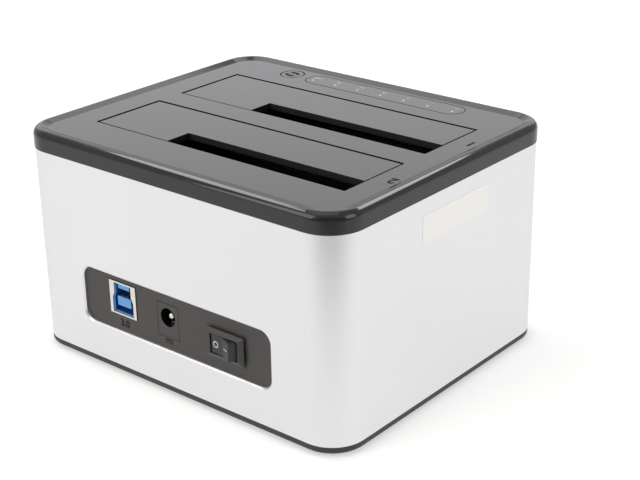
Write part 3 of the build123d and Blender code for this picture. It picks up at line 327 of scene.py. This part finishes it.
nickel = plated("nickel_plated_steel", "#E3DED6", "#EFEAE2", 0.25, 0.3, 0.12)
gold = plated("gold_flashed_contact", "#E2B657", "#EDC66B", 0.25, 0.3, 0.1)
dress(nickel, "usb_shell")
dress(gold, "usb_contacts")

# Blue nylon: faces that look to the rear are painted paler as painted light, the rest darker as painted
# shade.
blue_nylon, tree, place = finish("blue_nylon_insert")
facing = add(tree, "ShaderNodeSeparateXYZ", Vector=add(tree, "ShaderNodeTexCoord").outputs["Normal"])
rear_faces_painted_light = add(tree, "ShaderNodeMapRange", Value=facing.outputs["Y"], From_Min=0.6, From_Max=0.9)
cloud = add(tree, "ShaderNodeTexNoise", Vector=place, Scale=1 / (1.2 * MM), Detail=2.0)
painted_shade_blue = add(tree, "ShaderNodeMix", {"data_type": "RGBA"}, _0=cloud.outputs["Fac"],
           _6=linear("#1D5FB0"), _7=linear("#2468BA"))
painted_light_blue = add(tree, "ShaderNodeMix", {"data_type": "RGBA"}, _0=cloud.outputs["Fac"],
           _6=linear("#68AAEE"), _7=linear("#74B4F2"))
# Painted light on the rear faces, painted shade on the cavity walls.
tone = add(tree, "ShaderNodeMix", {"data_type": "RGBA"}, _0=rear_faces_painted_light.outputs[0], _6=painted_shade_blue.outputs[2],
           _7=painted_light_blue.outputs[2])
nylon = add(tree, "ShaderNodeBsdfPrincipled", Base_Color=tone.outputs[2], Roughness=0.38, IOR=1.53)
add(tree, "ShaderNodeOutputMaterial", Surface=nylon.outputs[0])
dress(blue_nylon, "usb_insert")


# Power jack. A nylon moulding whose flange has the panel's grey spark texture on its face, while
# its bore and sides are smooth and painted near-black as shade. The centre pin and the leaf are nickel
# plated.
dress(textured_face("nylon_jack_painted_shade_sides", "dc_body", "#0E0E0E"), "dc_body")
dress(nickel, "dc_pin", "dc_leaf")


# Rocker switch. A snap-in housing and its rocker, both moulded in black nylon, which is slightly shiny.
# The rocker's mould is finer and its black deeper. Two flashed tabs stand out at the back.
dress(textured_plastic("black_nylon_moulded", "#2E2D2C", "#363534", 0.4, 0.02, 0.42), "switch_housing")
dress(textured_plastic("black_nylon_rocker", "#232221", "#2B2A29", 0.4, 0.02, 0.42), "switch_rocker")
dress(gold, "switch_terminals")


# Drive sockets, chips and tactile switch. Black glass-filled mouldings and chip packages with a fine
# dull skin, soldered to the boards. The sockets' contact blades are flashed with gold.
dress(textured_plastic("black_polyester_socket", "#1C1C1D", "#252526", 0.3, 0.02, 0.5),
      "sata_socket_a", "sata_socket_b", "board_chips", "tact_body")
dress(gold, "sata_contacts")


# Circuit boards. Woven glass laminate under green solder resist, cut out by routing and held by screws.
# The weave shows faintly through the smooth resist. Its threads are drawn 6 mm apart, or they don't show.
weave_spacing = 6 * MM
board_green, tree, place = finish("green_solder_resist_on_laminate")
weave = add(tree, "ShaderNodeTexWave", Vector=place, Scale=1 / weave_spacing, Distortion=0.4)
tone = add(tree, "ShaderNodeMix", {"data_type": "RGBA"}, _0=weave.outputs["Fac"],
           _6=linear("#0E4A27"), _7=linear("#12552E"))
resist = add(tree, "ShaderNodeBsdfPrincipled", Base_Color=tone.outputs[2], Roughness=0.35, IOR=1.5)
add(tree, "ShaderNodeOutputMaterial", Surface=resist.outputs[0])
dress(board_green, "main_board", "indicator_board")


# Steel parts. Ground hinge pins, drawn spring wire and bright zinc-plated screws, all a cool clean grey.
# The base's screws are plated black, and the capacitors have drawn aluminium cans.
steel = plated("bright_drawn_steel", "#B9B9B8", "#C8C8C7", 0.28, 0.25, 0.12)
dress(steel, "flap_pin_a", "flap_pin_b", "flap_spring_a", "flap_spring_b", "cradle_screws", "board_screws",
      "indicator_screws")
dress(plated("black_zinc_screw", "#2A2A2B", "#353536", 0.35, 0.2, 0.1), "base_screws")
dress(plated("capacitor_can_aluminium", "#C9C9C8", "#D6D6D5", 0.3, 0.4, 0.1), "board_capacitors")


# Leads, plugs and lamps. Red PVC on the switch leads and grey PVC on the flat lead, which is crimped
# into two plugs. The plugs and the tactile switch's plunger are moulded in undyed, milky nylon, and the
# lamps, soldered below their light guide, have milky cases of the same look.
dress(textured_plastic("red_pvc_insulation", "#8E1F1B", "#A02722", 0.5, 0.01, 0.45), "switch_leads")
dress(textured_plastic("grey_flat_lead", "#6E6F71", "#7A7B7D", 0.5, 0.02, 0.5), "indicator_lead")
dress(textured_plastic("natural_nylon", "#D9D4C6", "#E2DDD0", 0.5, 0.01, 0.45), "lead_plugs",
      "tact_plunger", "indicator_lamps")


# Light guide. A bar with seven rods, moulded in clear acrylic and polished by its mould, under the lid.
# It is as clear as glass, with a faint haze.
clear, tree, place = finish("clear_acrylic")
haze = add(tree, "ShaderNodeTexNoise", Vector=place, Scale=1 / (3 * MM))
polish = add(tree, "ShaderNodeMapRange", Value=haze.outputs["Fac"], To_Min=0.03, To_Max=0.1)
acrylic = add(tree, "ShaderNodeBsdfPrincipled", Base_Color=linear("#F2F6F6"), Roughness=polish.outputs[0],
              IOR=1.49, Transmission_Weight=1.0)
add(tree, "ShaderNodeOutputMaterial", Surface=acrylic.outputs[0])
dress(clear, "light_guide")


# Indicator film. A dark polyester film, screen printed and glued into the lid's shallow recess: smooth,
# edged by a fine dark line, with a dot over each rod of the light guide and a mark in front of each dot.
film_black, tree, place = finish("printed_polyester_film")
cloud = add(tree, "ShaderNodeTexNoise", Vector=place, Scale=1 / (9 * MM), Detail=1.0)
tone = add(tree, "ShaderNodeMix", {"data_type": "RGBA"}, _0=cloud.outputs["Fac"],
           _6=linear("#222224"), _7=linear("#28282A"))
gloss = add(tree, "ShaderNodeMapRange", Value=cloud.outputs["Fac"], To_Min=0.12, To_Max=0.2)
film = add(tree, "ShaderNodeBsdfPrincipled", Base_Color=tone.outputs[2], Roughness=gloss.outputs[0], IOR=1.6)
add(tree, "ShaderNodeOutputMaterial", Surface=film.outputs[0])
dress(film_black, "indicator_film")


def ink(name, fresh, worn, roughness):
    """Screen-printed ink: one colour, broken up slightly by the rough stroke of the squeegee."""
    made, tree, place = finish(name)
    grain = add(tree, "ShaderNodeTexNoise", Vector=place, Scale=1 / (0.5 * MM), Detail=2.0)
    tone = add(tree, "ShaderNodeMix", {"data_type": "RGBA"}, _0=grain.outputs["Fac"],
               _6=linear(fresh), _7=linear(worn))
    coat = add(tree, "ShaderNodeBsdfPrincipled", Base_Color=tone.outputs[2], Roughness=roughness)
    add(tree, "ShaderNodeOutputMaterial", Surface=coat.outputs[0])
    return made


grey_ink = ink("light_grey_ink", "#D0D0D2", "#C6C6C8", 0.5)
white_ink = ink("white_ink", "#E8E8E6", "#D8D8D6", 0.5)
dark_ink = ink("black_ink", "#0B0A0A", "#121111", 0.9)
ink_thickness = 0.03
ink_gap = 0.005


def lay(mesh, material, body, origin, across=(1, 0, 0), up=(0, 1, 0), thickness=ink_thickness):
    """Puts a flat mesh, drawn in millimetres about its own zero, on a face: origin, across and up in
    the object's frame, a hair off the face. Solidify then gives it its thickness, outward."""
    across, up = Vector(across).normalized(), Vector(up).normalized()
    out = across.cross(up)
    turn = Matrix((across, up, out)).transposed().to_4x4()
    mesh.transform(Matrix.Translation((Vector(origin) + out * ink_gap) * MM) @ turn @ Matrix.Scale(MM, 4))
    mesh.materials.clear()
    mesh.materials.append(material)
    piece = bpy.data.objects.new(mesh.name, mesh)
    bpy.context.scene.collection.objects.link(piece)
    wall = piece.modifiers.new("thickness", "SOLIDIFY")
    wall.thickness, wall.offset = thickness * MM, 1.0
    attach(piece, body)


def ribbon(name, x, y, width, closed=False):
    """A flat ribbon along a line given by arrays x and y: each point is moved half the width to both
    sides along the line's normal, which is its tangent turned by a quarter."""
    if closed:
        along_x, along_y = np.roll(x, -1) - np.roll(x, 1), np.roll(y, -1) - np.roll(y, 1)
    else:
        along_x, along_y = np.gradient(x), np.gradient(y)
    size = np.hypot(along_x, along_y)
    side_x, side_y = -along_y / size, along_x / size
    half = np.broadcast_to(np.asarray(width, float) / 2, x.shape)
    points = np.concatenate([np.stack([x - half * side_x, y - half * side_y, 0 * x], 1),
                             np.stack([x + half * side_x, y + half * side_y, 0 * x], 1)])
    count = len(x)
    here = np.arange(count if closed else count - 1)
    there = (here + 1) % count
    faces = np.stack([here, there, there + count, here + count], 1)
    mesh = bpy.data.meshes.new(name)
    mesh.from_pydata(points.tolist(), [], faces.tolist())
    return mesh


def disc(name, radius, steps=40):
    """A flat round: one face with points at equal angles about its middle."""
    turn = np.linspace(0, 2 * np.pi, steps, endpoint=False)
    rim = np.stack([radius * np.cos(turn), radius * np.sin(turn), 0 * turn], 1)
    mesh = bpy.data.meshes.new(name)
    mesh.from_pydata(rim.tolist(), [], [list(range(steps))])
    return mesh


def digits(name, text, height, bold):
    """Plain numbers as a flat mesh, centred, with capitals of the given height in millimetres, their
    strokes widened by the length bold to each side."""
    capital_share = 0.7
    curve = bpy.data.curves.new(name, "FONT")
    curve.body, curve.size, curve.offset = text, height / capital_share, bold
    curve.align_x, curve.align_y = "CENTER", "CENTER"
    holder = bpy.data.objects.new(name + "_curve", curve)
    bpy.context.scene.collection.objects.link(holder)
    depsgraph = bpy.context.evaluated_depsgraph_get()
    mesh = bpy.data.meshes.new_from_object(holder.evaluated_get(depsgraph))
    mesh.name = name
    bpy.data.objects.remove(holder)
    return mesh


def stadium(length, width, steps=32):
    """The line of a full-round slot: two half circles whose centres are length minus width apart."""
    turn = np.linspace(-np.pi / 2, np.pi / 2, steps)
    x = np.cos(turn) * width / 2 + (length - width) / 2
    y = np.sin(turn) * width / 2
    return np.concatenate([x, -x]), np.concatenate([y, -y])


edge_line_inset = 0.05
edge_line_width = 0.25
marks = ["0", "1", "2", "25", "50", "75", "100"]
mark_height = 1.6
mark_bold = 0.05
mark_forward = 1.5
dot_radius = 0.5
lamp_half_length = 1.0

film_low, film_high = (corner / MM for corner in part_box("indicator_film"))
film_x, film_y = (film_low.x + film_high.x) / 2, (film_low.y + film_high.y) / 2
lid_top = film_high.z
line_x, line_y = stadium(film_high.x - film_low.x - 2 * edge_line_inset,
                         film_high.y - film_low.y - 2 * edge_line_inset)
lay(ribbon("film_edge_line", line_x, line_y, edge_line_width, closed=True), dark_ink, "dock",
    (film_x, film_y, lid_top))

lamps_low, lamps_high = (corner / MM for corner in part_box("indicator_lamps"))
lamps_y = (lamps_low.y + lamps_high.y) / 2
lamps_x = np.linspace(lamps_low.x + lamp_half_length, lamps_high.x - lamp_half_length, len(marks))
for i, (mark, lamp_x) in enumerate(zip(marks, lamps_x.tolist()), start=1):
    lay(digits(f"film_mark_{i}", mark, mark_height, mark_bold), grey_ink, "dock",
        (lamp_x, film_y - mark_forward, lid_top))
    lay(disc(f"film_dot_{i}", dot_radius), white_ink, "dock", (lamp_x, lamps_y, lid_top))


# Button. A round cap of the lid's polished black ABS, held below the lid by its flange. Two chasing
# arrows are printed on it in dull black, each an arc that widens to a head and ends in a point.
shaft_points, head_points = 15, 9
shaft_width, head_width, head_end = 1.3, 2.1, -0.3
least_width = 0.05
arc_reach_x, arc_reach_y = 2.2, 1.7
arc_start, arc_end = 0.2, 2.7

dress(gloss_black, "clone_button")
button_low, button_high = (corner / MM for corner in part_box("clone_button"))
button_middle = (button_low + button_high) / 2
arrow_width = np.concatenate([np.full(shaft_points, shaft_width),
                              np.linspace(head_width, head_end, head_points)]).clip(least_width)
for i in range(2):
    turn = np.linspace(arc_start, arc_end, shaft_points + head_points) + i * np.pi
    lay(ribbon(f"button_arrow_{i + 1}", arc_reach_x * np.cos(turn), arc_reach_y * np.sin(turn), arrow_width),
        dark_ink, "button", (button_middle.x, button_middle.y, button_high.z))


# Bay numbers. Small dull black figures, pad printed on the lid beside the open end of each bay. They
# stand on the polished plastic as thin raised ink.
bay_number_x = -58.6
bay_number_height = 4.0
bay_number_bold = 0.12
for number, bay_number_y in (("1", -21.0), ("2", 19.2)):
    lay(digits(f"bay_number_{number}", number, bay_number_height, bay_number_bold), dark_ink, "dock",
        (bay_number_x, bay_number_y, lid_top))


# Panel print. A direct-current sign under the jack, which is a bar over three dashes, and a plain number
# under the other socket, pad printed on the panel in dull black.
sign_stroke = 0.5
bar_length, bar_drop = 3.0, 1.0
dash_length, dash_pitch, dash_drop = 0.7, 1.15, 1.9
socket_number_height, socket_number_bold, socket_number_drop = 2.3, 0.1, 1.4

leftward, upward = (-1, 0, 0), (0, 0, 1)
panel_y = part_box("io_panel")[1].y / MM
jack_low, jack_high = (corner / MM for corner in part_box("dc_body"))
jack_x = (jack_low.x + jack_high.x) / 2
socket_low, socket_high = (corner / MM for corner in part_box("usb_shell"))
socket_x = (socket_low.x + socket_high.x) / 2
bar_x = np.linspace(-bar_length / 2, bar_length / 2, 12)
lay(ribbon("dc_sign_bar", bar_x, 0 * bar_x, sign_stroke), dark_ink, "dock",
    (jack_x, panel_y, jack_low.z - bar_drop), leftward, upward)
for i in range(3):
    dash_x = np.linspace(-dash_length / 2, dash_length / 2, 4) + (i - 1) * dash_pitch
    lay(ribbon(f"dc_sign_dash_{i + 1}", dash_x, 0 * dash_x, sign_stroke), dark_ink, "dock",
        (jack_x, panel_y, jack_low.z - dash_drop), leftward, upward)
lay(digits("socket_number", "3.0", socket_number_height, socket_number_bold), dark_ink, "dock",
    (socket_x, panel_y, jack_low.z - socket_number_drop), leftward, upward)


# Label. A blank sticker of metallised satin polyester, cut from a roll and stuck on the sleeve's end. It
# is as bright as the sleeve and a shade warmer.
label_length, label_height, label_thickness = 34.6, 9.0, 0.06
label_y, label_z = -3.2, 60.8

sticker, tree, place = finish("satin_silver_polyester_label")
grain = add(tree, "ShaderNodeTexNoise", Vector=place, Scale=1 / (0.6 * MM), Detail=2.0)
tone = add(tree, "ShaderNodeMix", {"data_type": "RGBA"}, _0=grain.outputs["Fac"],
           _6=linear("#F0EEEA"), _7=linear("#F5F3EF"))
sheet = add(tree, "ShaderNodeBsdfPrincipled", Base_Color=tone.outputs[2], Metallic=1.0, Roughness=0.3)
add(tree, "ShaderNodeOutputMaterial", Surface=sheet.outputs[0])
sleeve_end_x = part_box("side_sleeve")[0].x / MM
label_x = np.linspace(-label_length / 2, label_length / 2, 24)
lay(ribbon("blank_label", label_x, 0 * label_x, label_height), sticker, "dock",
    (sleeve_end_x, label_y, label_z), (0, -1, 0), upward, label_thickness)


# Rocker marks. A white ring and a white bar, pad printed on the two halves of the rocker's dished face,
# which meet in a crease over its pivot. At rest the ring's half is pressed in.
pivot_depth = 2.15
rocker_radius = 5.4
rest_turn = np.radians(-13.5)
dish_slant = np.radians(10.5)
edge_turn = np.radians(34.3)
ring_radius, ring_stroke, ring_reach = 0.92, 0.38, 2.7
tick_length, tick_stroke, tick_reach = 2.3, 0.34, 2.3

housing_low, housing_high = (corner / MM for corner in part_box("switch_housing"))
pivot = Vector(((housing_low.x + housing_high.x) / 2, housing_high.y - pivot_depth,
                (housing_low.z + housing_high.z) / 2))
crease_rise = rocker_radius * (np.sin(edge_turn) - np.cos(edge_turn) * np.tan(dish_slant))
crease = pivot + Vector((-np.sin(rest_turn), np.cos(rest_turn), 0)) * crease_rise
turn = np.linspace(0, 2 * np.pi, 48, endpoint=False)
ring = ribbon("rocker_ring", ring_radius * np.cos(turn), ring_radius * np.sin(turn), ring_stroke, closed=True)
tick_x = np.linspace(-tick_length / 2, tick_length / 2, 12)
tick = ribbon("rocker_bar", tick_x, 0 * tick_x, tick_stroke)
for mesh, slant, reach in ((ring, rest_turn + dish_slant, -ring_reach),
                           (tick, rest_turn - dish_slant, tick_reach)):
    along = Vector((-np.cos(slant), -np.sin(slant), 0))
    lay(mesh, white_ink, "rocker", crease + along * reach, along, upward)
